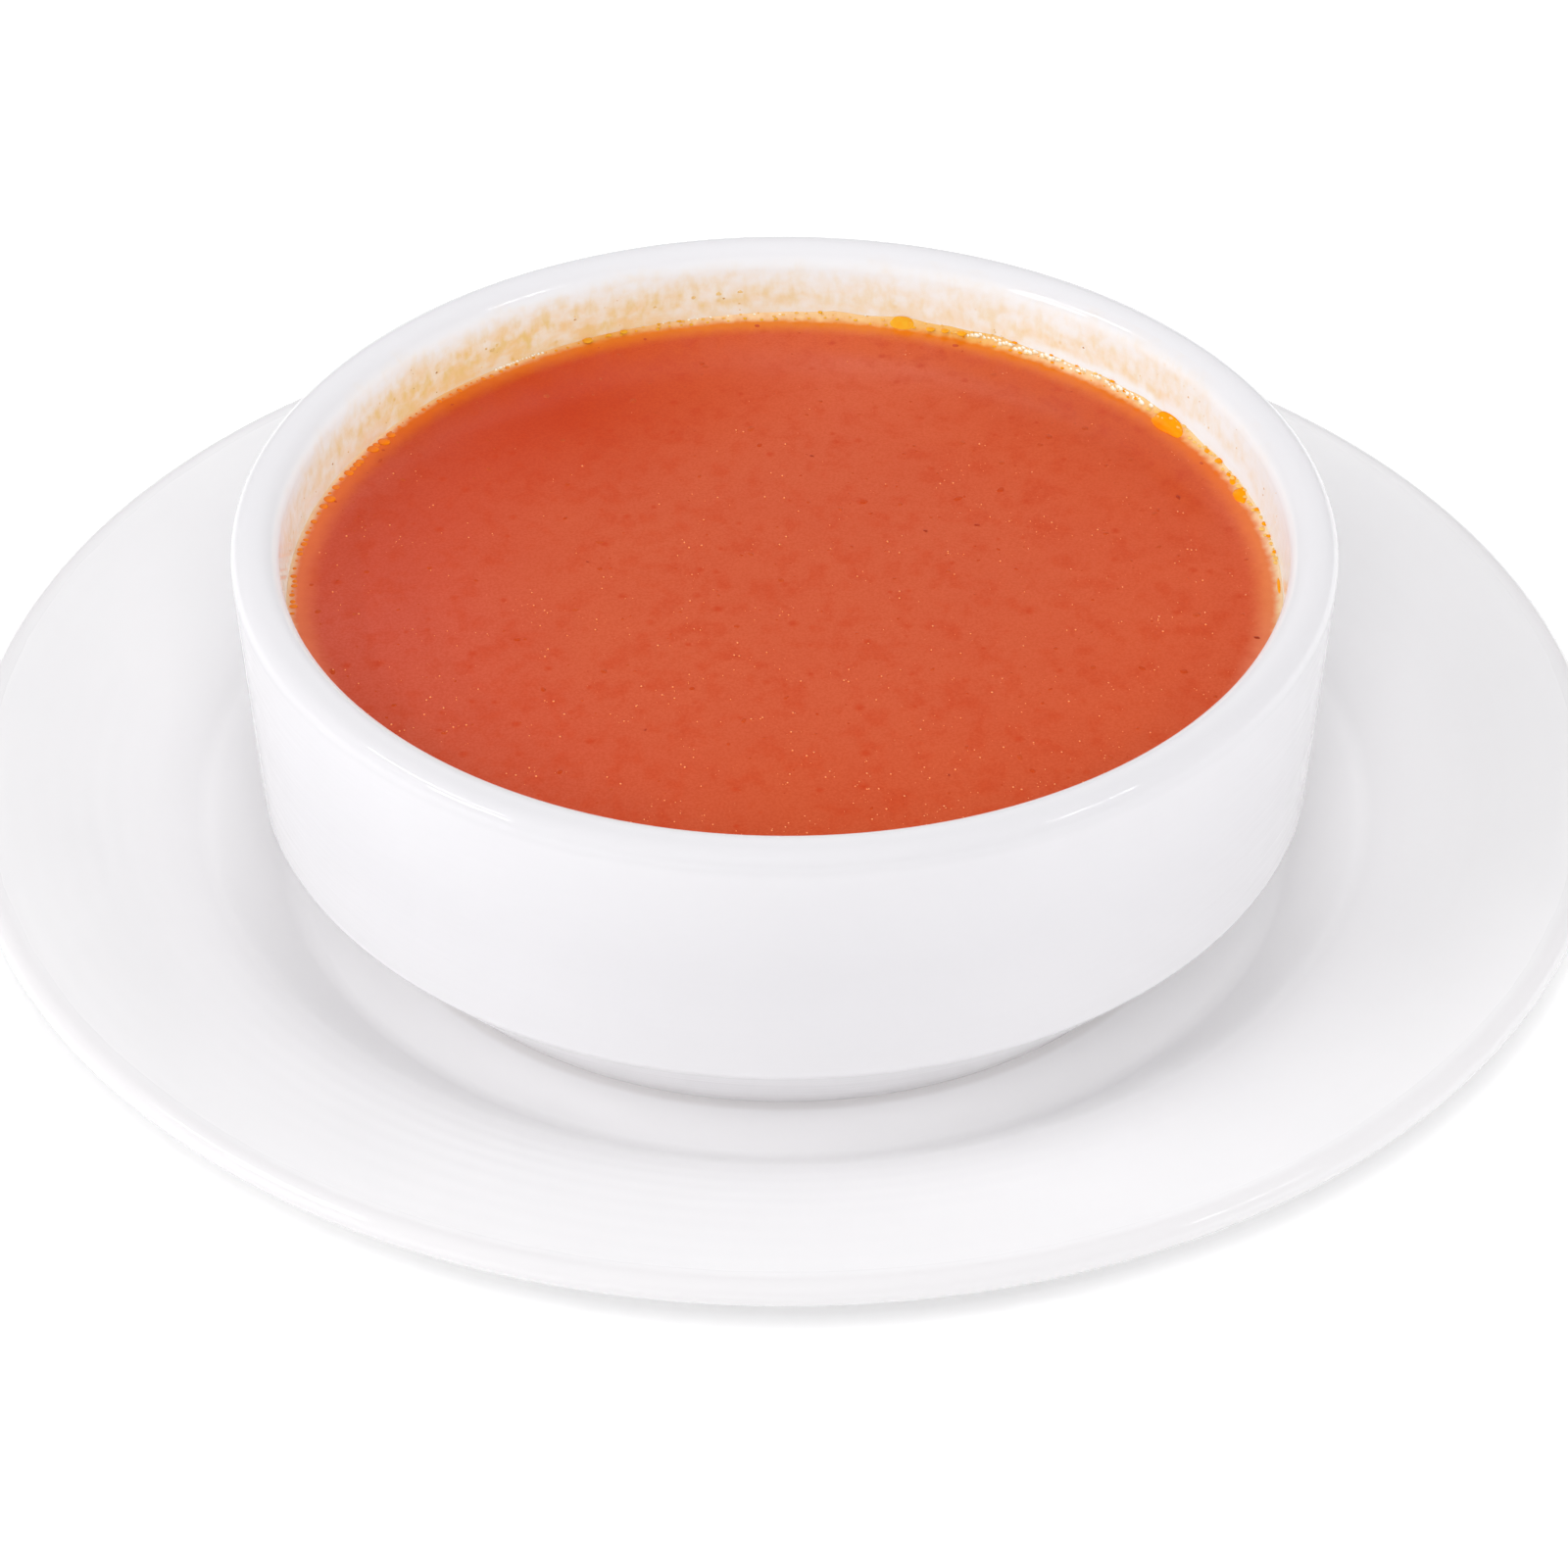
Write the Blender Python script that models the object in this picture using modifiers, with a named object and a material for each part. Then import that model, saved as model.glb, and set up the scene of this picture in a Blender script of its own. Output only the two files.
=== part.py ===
"""A round bowl of tomato soup standing in the well of its ridged plate.

Metres, +Z up. The origin is at the centre of the plate's foot ring, on the
surface that the plate stands on. Every piece is turned about the Z axis.
"""

import math

import bpy

# Turning
STEPS = 64                      # flat sides round each turned piece
ARC_STEP = math.radians(36)     # largest turn between two points of a rounded corner
GAP = 0.0003                    # clearance between pieces that touch

# Plate: a flat well with a steep wall, an arched rim with fine ridges, a rounded lip and a foot ring
PLATE_RADIUS = 0.0911
PLATE_HEIGHT = 0.0213           # top of the lip
WELL_RADIUS = 0.0564            # of the well's flat floor
WELL_HEIGHT = 0.0066            # top of the well's floor
WELL_ROUND = 0.0025
RIM_START_RADIUS = 0.0650       # where the well's wall ends and the rim begins
RIM_START_HEIGHT = 0.0138
RIM_START_ROUND = 0.0015
RIM_ARCH = 0.0011               # how far the rim rises above a straight slope, at its middle
LIP_THICKNESS = 0.0032
RIDGE_PITCH = 0.0027
RIDGE_HEIGHT = 0.0001
RIDGE_COUNT = 8
UNDER_RIM_RADIUS = 0.0670       # corner of the underside below the start of the rim
UNDER_RIM_HEIGHT = 0.0104
UNDER_WELL_RADIUS = 0.0582      # corner of the underside beside the foot ring
UNDER_WELL_HEIGHT = 0.0026
PLATE_FOOT_RADIUS = 0.0565
PLATE_FOOT_WIDTH = 0.0045
PLATE_FOOT_DEPTH = 0.0024

# Bowl: heights are counted from its own foot, which stands in the well
BOWL_BASE = WELL_HEIGHT + GAP
BOWL_RADIUS = 0.0601            # at the rim
BOWL_HEIGHT = 0.0429
BOWL_WALL = 0.0052              # at the rim
RIM_OUTER_ROUND = 0.0024
RIM_INNER_ROUND = 0.0026
CREASE_RADIUS = 0.0586          # where the wall turns in under the bowl
CREASE_HEIGHT = 0.0129
CREASE_ROUND = 0.0010
BOWL_FOOT_RADIUS = 0.0478
BOWL_FOOT_WIDTH = 0.0042
BOWL_FOOT_DEPTH = 0.0016
CAVITY_FLOOR = 0.0060
CAVITY_FOOT_RADIUS = 0.0529     # where the inner wall would meet the inner floor
CAVITY_ROUND = 0.0140

# Soup: fills the bowl up to its level, and climbs the wall a little
SOUP_LEVEL = 0.0341
MENISCUS_WIDTH = 0.0016
MENISCUS_HEIGHT = 0.0004


def rounded(corners):
    """Points of an outline whose corners (radius, height, rounding) are turned into arcs."""
    points = []
    for index, (x, z, rounding) in enumerate(corners):
        if rounding == 0:
            points.append((x, z))
            continue
        before, after = corners[index - 1], corners[index + 1]
        angle_in = math.atan2(z - before[1], x - before[0])
        angle_out = math.atan2(after[1] - z, after[0] - x)
        turn = (angle_out - angle_in + math.pi) % (2 * math.pi) - math.pi
        side = math.copysign(1, turn)
        setback = rounding * math.tan(abs(turn) / 2)
        start_x = x - setback * math.cos(angle_in)
        start_z = z - setback * math.sin(angle_in)
        centre_x = start_x - side * rounding * math.sin(angle_in)
        centre_z = start_z + side * rounding * math.cos(angle_in)
        pieces = max(1, math.ceil(abs(turn) / ARC_STEP))
        for piece in range(pieces + 1):
            angle = angle_in + turn * piece / pieces
            points.append((centre_x + side * rounding * math.sin(angle),
                           centre_z - side * rounding * math.cos(angle)))
    return points


def make_material(name, colour, roughness):
    """A Principled material of one colour."""
    material = bpy.data.materials.new(name)
    material.use_nodes = True
    surface = material.node_tree.nodes["Principled BSDF"]
    surface.inputs["Base Color"].default_value = (*colour, 1)
    surface.inputs["Roughness"].default_value = roughness
    surface.inputs["Metallic"].default_value = 0
    return material


def turn_outline(name, points, base, material, collection):
    """An object turned about Z from an outline that runs from the top axis point to the bottom one."""
    mesh = bpy.data.meshes.new(name)
    vertices = [(x, 0, z) for x, z in points]
    edges = [(index, index + 1) for index in range(len(points) - 1)]
    mesh.from_pydata(vertices, edges, [])
    mesh.materials.append(material)
    piece = bpy.data.objects.new(name, mesh)
    piece.location.z = base
    collection.objects.link(piece)
    screw = piece.modifiers.new("Turn", "SCREW")
    screw.axis = "Z"
    screw.angle = 2 * math.pi
    screw.steps = STEPS
    screw.render_steps = STEPS
    screw.use_merge_vertices = True
    screw.merge_threshold = 0.00001
    screw.use_smooth_shade = True
    return piece


def plate_outline():
    """The well, the ridged rim, the lip, the underside and the foot ring."""
    lip_round = LIP_THICKNESS / 2
    lip_centre_x = PLATE_RADIUS - lip_round
    lip_centre_z = PLATE_HEIGHT - lip_round
    run = lip_centre_x - RIM_START_RADIUS
    rise = PLATE_HEIGHT - RIM_START_HEIGHT
    slope = math.atan2(rise - 4 * RIM_ARCH, run)
    rim_end_x = lip_centre_x - lip_round * math.sin(slope)
    rim_end_z = lip_centre_z + lip_round * math.cos(slope)

    def rim_point(x, raised):
        part = (x - RIM_START_RADIUS) / (rim_end_x - RIM_START_RADIUS)
        arch = RIM_ARCH * 4 * part * (1 - part)
        return (x, RIM_START_HEIGHT + part * (rim_end_z - RIM_START_HEIGHT) + arch + raised)

    first_crest = rim_end_x - RIDGE_PITCH * (RIDGE_COUNT - 0.5)
    rim = []
    for ridge in range(RIDGE_COUNT):
        crest_x = first_crest + RIDGE_PITCH * ridge
        rim.append(rim_point(crest_x, 0))
        rim.append(rim_point(crest_x + RIDGE_PITCH / 2, -RIDGE_HEIGHT))
    top = rounded([
        (0, WELL_HEIGHT, 0),
        (WELL_RADIUS, WELL_HEIGHT, WELL_ROUND),
        (RIM_START_RADIUS, RIM_START_HEIGHT, RIM_START_ROUND),
        (*rim[0], 0),
    ])
    lip = []
    lip_pieces = math.ceil(math.pi / ARC_STEP)
    for piece in range(lip_pieces + 1):
        angle = math.pi / 2 + slope - math.pi * piece / lip_pieces
        lip.append((lip_centre_x + lip_round * math.cos(angle),
                    lip_centre_z + lip_round * math.sin(angle)))
    foot_inner = PLATE_FOOT_RADIUS - PLATE_FOOT_WIDTH
    under = rounded([
        (*lip[-1], 0),
        (UNDER_RIM_RADIUS, UNDER_RIM_HEIGHT, PLATE_FOOT_DEPTH),
        (UNDER_WELL_RADIUS, UNDER_WELL_HEIGHT, PLATE_FOOT_DEPTH / 4),
        (PLATE_FOOT_RADIUS, 0, PLATE_FOOT_DEPTH / 4),
        (foot_inner, 0, PLATE_FOOT_DEPTH / 4),
        (foot_inner - PLATE_FOOT_DEPTH / 2, PLATE_FOOT_DEPTH, PLATE_FOOT_DEPTH / 4),
        (0, PLATE_FOOT_DEPTH, 0),
    ])
    return top + rim[1:-1] + lip + under[1:]


def bowl_outline():
    """The cavity, the rim, the tapering wall, the underside and the foot ring."""
    foot_inner = BOWL_FOOT_RADIUS - BOWL_FOOT_WIDTH
    return rounded([
        (0, CAVITY_FLOOR, 0),
        (CAVITY_FOOT_RADIUS, CAVITY_FLOOR, CAVITY_ROUND),
        (BOWL_RADIUS - BOWL_WALL, BOWL_HEIGHT, RIM_INNER_ROUND),
        (BOWL_RADIUS, BOWL_HEIGHT, RIM_OUTER_ROUND),
        (CREASE_RADIUS, CREASE_HEIGHT, CREASE_ROUND),
        (BOWL_FOOT_RADIUS, 0, BOWL_FOOT_DEPTH / 2),
        (foot_inner, 0, BOWL_FOOT_DEPTH / 4),
        (foot_inner - BOWL_FOOT_DEPTH / 2, BOWL_FOOT_DEPTH, BOWL_FOOT_DEPTH / 4),
        (0, BOWL_FOOT_DEPTH, 0),
    ])


def soup_outline():
    """The soup's flat surface with its raised edge, and its sides along the cavity."""
    lean = (BOWL_RADIUS - BOWL_WALL - CAVITY_FOOT_RADIUS) / (BOWL_HEIGHT - CAVITY_FLOOR)
    edge_height = SOUP_LEVEL + MENISCUS_HEIGHT
    edge_radius = CAVITY_FOOT_RADIUS + lean * (edge_height - CAVITY_FLOOR) - GAP
    return rounded([
        (0, SOUP_LEVEL, 0),
        (edge_radius - MENISCUS_WIDTH, SOUP_LEVEL, MENISCUS_WIDTH),
        (edge_radius, edge_height, 0),
        (CAVITY_FOOT_RADIUS - GAP, CAVITY_FLOOR + GAP, CAVITY_ROUND),
        (0, CAVITY_FLOOR + GAP, 0),
    ])


def build():
    """Clears the scene and makes the three pieces."""
    for item in list(bpy.data.objects):
        bpy.data.objects.remove(item, do_unlink=True)
    collection = bpy.data.collections.new("tomato_soup")
    bpy.context.scene.collection.children.link(collection)
    plate_glaze = make_material("plate_glaze", (0.87, 0.86, 0.88), 0.12)
    bowl_glaze = make_material("bowl_glaze", (0.86, 0.86, 0.89), 0.12)
    tomato = make_material("tomato_soup", (0.62, 0.09, 0.035), 0.3)
    turn_outline("plate", plate_outline(), 0, plate_glaze, collection)
    turn_outline("bowl", bowl_outline(), BOWL_BASE, bowl_glaze, collection)
    turn_outline("soup", soup_outline(), BOWL_BASE, tomato, collection)


build()
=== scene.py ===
import math
import random

import bmesh
import bpy
from mathutils import Matrix, Vector, noise


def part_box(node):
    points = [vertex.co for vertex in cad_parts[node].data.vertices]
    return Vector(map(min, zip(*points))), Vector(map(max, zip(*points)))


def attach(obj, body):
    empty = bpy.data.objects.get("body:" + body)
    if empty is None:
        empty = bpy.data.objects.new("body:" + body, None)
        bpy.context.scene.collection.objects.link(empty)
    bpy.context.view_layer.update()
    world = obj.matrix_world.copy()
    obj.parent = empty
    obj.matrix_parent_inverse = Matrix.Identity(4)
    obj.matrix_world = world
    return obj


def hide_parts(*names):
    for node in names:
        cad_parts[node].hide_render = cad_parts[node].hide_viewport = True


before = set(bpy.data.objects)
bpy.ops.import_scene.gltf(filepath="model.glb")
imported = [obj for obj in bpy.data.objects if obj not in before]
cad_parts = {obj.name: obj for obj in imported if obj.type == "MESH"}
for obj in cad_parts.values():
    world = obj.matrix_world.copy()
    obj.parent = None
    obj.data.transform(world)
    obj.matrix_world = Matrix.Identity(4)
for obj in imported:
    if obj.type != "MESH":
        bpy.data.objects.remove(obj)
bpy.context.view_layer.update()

mm = 0.001
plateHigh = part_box("plate")[1]
bowlLow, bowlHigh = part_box("bowl")
soupLow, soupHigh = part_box("soup")
soupLevel = soupHigh.z - 0.4 * mm  # the solid's top is where the liquid climbs the wall
print("frame loaded")


camera = {
    "distance": 413.0 * mm,  # in front of the bowl's axis
    "aboveRim": 280.5 * mm,
    "pitch": 37.55,  # degrees below the horizon
    "roll": 0.136,
    "lens": 105.5,
}

room = {
    "skyColour": (0.985, 0.985, 1.0),
    "skyStrength": 0.225,
    "floorSize": 6.0,
    "floorColour": (0.95, 0.95, 0.95),
    "fibreColour": (0.94, 0.94, 0.94),
    "fibreSize": 3.0,  # millimetres
    "floorGlow": 0.088,
    "shadowMiddle": (0, 23, 0),  # where the plate keeps the paper from burning out to white
    "shadowReach": (94.8, 100.5),
    "shadowColour": (0.87, 0.87, 0.87),
    "overexposed": 0.3,
}

panels = {  # azimuth, with 0 on the right and 90 at the back, elevation and power
    "away": 1.4,
    "size": 0.9,
    "lamps": {
        "frontPanel": (-90, 38, 9.1),
        "leftPanel": (180, 15, 5.3),
        "leftHighPanel": (180, 40, 2.6),
        "rightPanel": (0, 15, 5.8),
        "backRightPanel": (45, 40, 2.1),
        "backPanel": (90, 15, 5.5),
        "topPanel": (0, 90, 4.6),
    },
}

strips = {  # the same, then length and width; only these show in the glaze
    "away": 1.1,
    "lamps": {
        "leftStrip": (-166, 38, 0.95, 0.60, 0.020),
        "leftLowStrip": (-152, 24, 0.75, 0.34, 0.03),
        "rightStrip": (-24, 38, 0.52, 0.34, 0.022),
    },
}


def towards(azimuth, elevation):
    turn, lift = math.radians(azimuth), math.radians(elevation)
    return Vector((math.cos(turn) * math.cos(lift), math.sin(turn) * math.cos(lift), math.sin(lift)))


def placeCamera():
    data = bpy.data.cameras.new("camera")
    data.lens = camera["lens"]
    eye = bpy.data.objects.new("camera", data)
    eye.location = (0, -camera["distance"], bowlHigh.z + camera["aboveRim"])
    eye.rotation_euler = (math.radians(90 - camera["pitch"]), 0, 0)
    eye.rotation_euler.rotate_axis("Z", math.radians(camera["roll"]))
    bpy.context.scene.collection.objects.link(eye)
    bpy.context.scene.camera = eye


def placeLamp(name, away, glints, azimuth, elevation, power, length, width):
    data = bpy.data.lights.new(name, "AREA")
    data.shape = "RECTANGLE"
    data.size, data.size_y = length, width
    data.energy = power
    lamp = bpy.data.objects.new(name, data)
    toLamp = towards(azimuth, elevation)
    lamp.location = Vector((0, 0, bowlHigh.z)) + toLamp * away
    lamp.rotation_euler = toLamp.to_track_quat("Z", "Y").to_euler()
    lamp.visible_glossy = glints
    bpy.context.scene.collection.objects.link(lamp)


def placeLights():
    world = bpy.data.worlds.new("studio")
    bpy.context.scene.world = world
    world.use_nodes = True
    sky = world.node_tree.nodes["Background"]
    sky.inputs["Color"].default_value = (*room["skyColour"], 1)
    sky.inputs["Strength"].default_value = room["skyStrength"]
    for name, lamp in panels["lamps"].items():
        placeLamp(name, panels["away"], False, *lamp, panels["size"], panels["size"])
    for name, lamp in strips["lamps"].items():
        placeLamp(name, strips["away"], True, *lamp)


placeCamera()
placeLights()
bpy.context.scene.view_settings.view_transform = "Standard"
print("camera and lights placed")


def addNode(tree, kind, settings=None, inputs=None):  # a socket given as an input's value is linked
    across, down = len(tree.nodes) % 12, len(tree.nodes) // 12
    node = tree.nodes.new("ShaderNode" + kind)
    node.location = (across * 190, down * -290)
    for name, value in (settings or {}).items():
        setattr(node, name, value)
    for name, value in (inputs or {}).items():
        if isinstance(value, bpy.types.NodeSocket):
            tree.links.new(value, node.inputs[name])
        else:
            node.inputs[name].default_value = value
    return node


def calculate(tree, operation, *values):
    return addNode(tree, "Math", {"operation": operation}, dict(enumerate(values))).outputs[0]


def product(tree, first, *others):
    for other in others:
        first = calculate(tree, "MULTIPLY", first, other)
    return first


def scaled(tree, value, factor, offset):
    return calculate(tree, "MULTIPLY_ADD", value, factor, offset)


def smoothStep(tree, value, low, high, toLow=0.0, toHigh=1.0):
    node = addNode(tree, "MapRange", {"interpolation_type": "SMOOTHSTEP"},
                   {"Value": value, "From Min": low, "From Max": high, "To Min": toLow, "To Max": toHigh})
    return node.outputs["Result"]


def mixColour(tree, share, first, second, blend="MIX"):
    node = addNode(tree, "Mix", {"data_type": "RGBA", "blend_type": blend})
    for socket, value in zip((node.inputs[0], node.inputs[6], node.inputs[7]), (share, first, second)):
        if isinstance(value, bpy.types.NodeSocket):
            tree.links.new(value, socket)
        else:
            socket.default_value = (*value, 1) if isinstance(value, tuple) else value
    return node.outputs[2]


def colourRound(tree, turn, stops, easing="LINEAR"):
    ramp = addNode(tree, "ValToRGB", inputs={"Fac": turn})
    points = ramp.color_ramp
    points.interpolation = easing
    for index, (stop, colour) in enumerate(stops):
        element = points.elements[index] if index < 2 else points.elements.new(stop)
        element.position = stop
        element.color = (*colour, 1)
    return ramp.outputs["Color"]


def newMaterial(name):  # with its place in millimetres, from Object coordinates
    material = bpy.data.materials.new(name)
    material.use_nodes = True
    tree = material.node_tree
    spot = addNode(tree, "TexCoord")
    place = addNode(tree, "VectorMath", {"operation": "SCALE"}, {0: spot.outputs["Object"], "Scale": 1 / mm})
    return material, tree, tree.nodes["Principled BSDF"], place.outputs[0]


def finishSurface(tree, surface, colour, roughness, ior, specular=0.5):
    tree.links.new(colour, surface.inputs["Base Color"])
    tree.links.new(roughness, surface.inputs["Roughness"])
    surface.inputs["IOR"].default_value = ior
    surface.inputs["Specular IOR Level"].default_value = specular


def addBump(tree, surface, height, depth):  # depth in millimetres
    bump = addNode(tree, "Bump", inputs={"Strength": 1.0, "Distance": depth * mm, "Height": height})
    tree.links.new(bump.outputs[0], surface.inputs["Normal"])


def newGroup(name, inputs):  # None stands for a vector
    group = bpy.data.node_groups.new(name, "ShaderNodeTree")
    for label, value in inputs.items():
        kind = "NodeSocketVector" if value is None else "NodeSocketFloat"
        socket = group.interface.new_socket(name=label, in_out="INPUT", socket_type=kind)
        if value is not None:
            socket.default_value = value
    return group, group.nodes.new("NodeGroupInput").outputs


def closeGroup(group, outputs):
    for label in outputs:
        group.interface.new_socket(name=label, in_out="OUTPUT", socket_type="NodeSocketFloat")
    result = group.nodes.new("NodeGroupOutput")
    for label, value in outputs.items():
        group.links.new(value, result.inputs[label])
    return group


def useGroup(tree, group, inputs):
    return addNode(tree, "Group", {"node_tree": group}, inputs).outputs


def buildRoundPlace():  # where a point is round the bowl: Turn 0 front, 0.25 left, 0.5 back
    group, given = newGroup("roundPlace", {"Place": None})
    across, along, height = addNode(group, "SeparateXYZ", inputs={0: given["Place"]}).outputs
    angle = calculate(group, "ARCTAN2", across, along)
    turn = scaled(group, angle, 0.5 / math.pi, 0.5)
    flat = addNode(group, "CombineXYZ", inputs={0: across, 1: along})
    radius = addNode(group, "VectorMath", {"operation": "LENGTH"}, {0: flat.outputs[0]})
    return closeGroup(group, {"Turn": turn, "Radius": radius.outputs["Value"], "Height": height})


def buildScatteredFlecks():  # soft round flecks in a random share of the cells of a grid
    group, given = newGroup(
        "scatteredFlecks", {"Place": None, "Spacing": 1.0, "Share": 0.2, "Size": 0.2, "Softness": 0.5})
    perCell = calculate(group, "DIVIDE", 1.0, given["Spacing"])
    cells = addNode(group, "TexVoronoi", inputs={"Vector": given["Place"], "Scale": perCell})
    chance = addNode(group, "SeparateColor", inputs={0: cells.outputs["Color"]}).outputs
    chosen = calculate(group, "LESS_THAN", chance["Red"], given["Share"])
    away = product(group, cells.outputs["Distance"], given["Spacing"])
    grown = scaled(group, chance["Green"], 0.9, 0.45)
    reach = product(group, given["Size"], grown)
    keep = calculate(group, "SUBTRACT", 1.0, given["Softness"])
    spot = smoothStep(group, away, product(group, reach, keep), reach, 1.0, 0.0)
    return closeGroup(group, {"Fleck": product(group, spot, chosen), "Chance": chance["Blue"]})


def buildCloud():  # noise, and the same pushed to a mask that covers a given share
    group, given = newGroup("cloud", {"Place": None, "Size": 2.0, "Detail": 3.0, "Level": 0.5, "Blur": 0.2})
    field = addNode(group, "TexNoise", inputs={
        "Vector": given["Place"], "Scale": calculate(group, "DIVIDE", 1.0, given["Size"]),
        "Detail": given["Detail"]}).outputs[0]
    low = calculate(group, "SUBTRACT", given["Level"], given["Blur"])
    high = calculate(group, "ADD", given["Level"], given["Blur"])
    return closeGroup(group, {"Cloud": smoothStep(group, field, low, high), "Plain": field})


roundPlace = buildRoundPlace()
scatteredFlecks = buildScatteredFlecks()
cloud = buildCloud()


def flecksAt(tree, place, spacing, share, size, softness=0.5):
    return useGroup(tree, scatteredFlecks, {
        "Place": place, "Spacing": spacing, "Share": share, "Size": size, "Softness": softness})


def cloudAt(tree, place, size, detail=3.0, level=0.5, blur=0.2):
    return useGroup(tree, cloud, {
        "Place": place, "Size": size, "Detail": detail, "Level": level, "Blur": blur})


def roundAt(tree, place):
    return useGroup(tree, roundPlace, {"Place": place})


def stretch(tree, place, scale, shift=(0, 0, 0)):
    return addNode(tree, "Mapping", inputs={
        "Vector": place, "Location": shift, "Scale": scale}).outputs[0]


glaze = {
    "plate": ((0.872, 0.862, 0.871), (0.862, 0.852, 0.862)),  # colour, and where the glaze lies thicker
    # the well's floor and wall are painted lighter than the rim, against the shade the bowl casts on them
    "well": (0.950, 0.941, 0.948),
    "wellWallLit": (0.970, 0.962, 0.968),  # painted lighter still below the rim, against the shade the bowl casts there
    "footShade": (0.85, 0.83, 0.83),  # painted contact shadow, greyed where the bowl stands
    "bowl": ((0.818, 0.806, 0.828), (0.808, 0.797, 0.820)),
    "bowlLow": (0.950, 0.940, 0.955),  # painted lighter low down, where the wall is in shade
    "bowlLipShade": (0.94, 0.94, 0.942),  # painted shade, greyer on the front of the lip where the lamps light it most
    # the inside is painted lighter than the outside, against the shade in the bowl
    "bowlInsideLit": (0.905, 0.893, 0.910),
    "lipShade": (0.815, 0.800, 0.812),  # painted shade, darker on the plate's lip where the lamps light it most
    "speck": (0.46, 0.43, 0.41),
    "roughness": 0.05,
    "mattRoughness": 0.06,
    "ridgeRoughness": 0.26,  # the ridged rim shines less than the lip
    "filmRoughness": 0.1,
    "bend": 1.5,
    "cloudSize": 22.0,  # millimetres, as is every size and edge in the materials
    "mattSize": 6.0,
    "plateRipple": (7.0, 0.05),  # size and depth
    "bowlRipple": (0.9, 0.02),
    "throwing": (0.08, 0.08, 1.0),  # draws the ripple out into the faint rings of the wheel
    "specks": (14.0, 0.22, 0.16),  # spacing, share of the places that hold one, size
    "footShadeEdge": (48.0, 49.0),  # radius from and to, outwards over the plate, where the painted contact shadow fades
    "wellWallEdge": (54.5, 57.5),
    "rimEdge": (64.0, 66.5),
    "lipShine": (88.2, 89.2),
    "lipEdge": (88.6, 89.8),
    "bowlEdge": (54.6, 55.7),
    "litLowFade": (13.0, 36.0),  # height, over which the painted lighter base gives way
    "lipCorner": (106.6, 108.3),  # radius and height together
    "lipFront": (-40.0, 0.0),  # from the front to the middle
}


def glazeLayer(tree, surface, colours, place, ripplePlace, rippleSize, rippleDepth):
    thick = cloudAt(tree, place, glaze["cloudSize"])
    specks = flecksAt(tree, place, *glaze["specks"])
    body = mixColour(tree, thick["Cloud"], *colours)
    speckled = mixColour(tree, specks["Fleck"], body, glaze["speck"])
    matt = cloudAt(tree, place, glaze["mattSize"], 4.0, 0.6)
    roughness = scaled(tree, matt["Cloud"], glaze["mattRoughness"], glaze["roughness"])
    ripple = cloudAt(tree, ripplePlace, rippleSize, 2.0)
    addBump(tree, surface, ripple["Plain"], rippleDepth)
    return speckled, roughness


def plateGlaze():
    material, tree, surface, place = newMaterial("plateGlaze")
    rim, roughness = glazeLayer(tree, surface, glaze["plate"], place, place, *glaze["plateRipple"])
    radius = roundAt(tree, place)["Radius"]
    # painted contact shadow round the bowl's foot, then the rest of the plate outwards
    colour = glaze["footShade"]
    for edge, outer in (("footShadeEdge", glaze["well"]), ("wellWallEdge", glaze["wellWallLit"]),
                        ("rimEdge", rim), ("lipEdge", glaze["lipShade"])):
        colour = mixColour(tree, smoothStep(tree, radius, *glaze[edge]), colour, outer)
    shine = smoothStep(tree, radius, *glaze["lipShine"], glaze["ridgeRoughness"], 0.0)
    finishSurface(tree, surface, colour, calculate(tree, "ADD", shine, roughness), glaze["bend"])
    return material


residue = {  # what a fuller level left on the wall
    "tint": (0.985, 0.585, 0.185),  # a thin film
    "blotch": (0.84, 0.54, 0.15),
    "crumb": (0.80, 0.46, 0.09),
    "radius": 56.2,  # it stays within this
    "below": 2.0,  # and starts this far below the soup's level
    "tallest": 10.0,
    "drift": (4.0, -2.0),  # how far its edges wander
    "foot": 2.0,  # its lower edge fades over this
    "top": 0.3,  # its upper edge fades from this share of its height
    "blotchFade": (0.6, 2.6),  # blotches are few below this height
    "wander": (3.2, 4.0),  # size and detail
    "mottleSize": 1.7,
    "blotches": (1.15, 2.5, 0.58),  # size, detail, level
    "crumbs": (1.6, 0.14, 0.4, 1.0),  # spacing, share of the places, size, softness
    "stops": [  # azimuth, strength, lower and upper edge above the soup
        (-90, 0.20, 0.0, 2.5), (-168, 0.22, 0.0, 6.0), (175, 0.45, 0.0, 8.0), (158, 0.55, 0.0, 8.3),
        (142, 0.84, 0.0, 8.2), (127, 0.87, 0.0, 7.8), (112, 0.82, 0.0, 8.0), (97, 0.56, 0.0, 8.0),
        (80, 0.46, 0.4, 8.2), (62, 0.48, 2.2, 8.6), (42, 0.52, 3.2, 9.4), (22, 0.25, 4.2, 9.2),
        (2, 0.17, 0.0, 7.0), (-9, 0.34, 0.0, 4.5), (-30, 0.20, 0.0, 3.5), (-89, 0.16, 0.0, 2.5),
    ],
}


def residueRound(tree, turn):  # strength, lower and upper edge at a turn
    tallest = residue["tallest"]
    stops = sorted((((90 - azimuth) % 360 / 360 + 0.5) % 1, (strength, low / tallest, high / tallest))
                   for azimuth, strength, low, high in residue["stops"])
    edges = colourRound(tree, turn, stops, "EASE")
    strength, low, high = addNode(tree, "SeparateColor", inputs={0: edges}).outputs
    return strength, product(tree, low, tallest), product(tree, high, tallest)


def residueBand(tree, up, low, high):  # 1 between its edges, and fading outside them
    rising = smoothStep(tree, up, calculate(tree, "SUBTRACT", low, residue["foot"]), low, 0.15, 1.0)
    risen = calculate(tree, "MAXIMUM", rising, calculate(tree, "LESS_THAN", low, 0.3))
    falling = smoothStep(tree, up, product(tree, high, residue["top"]), high, 1.0, 0.0)
    return product(tree, risen, falling)


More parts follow.
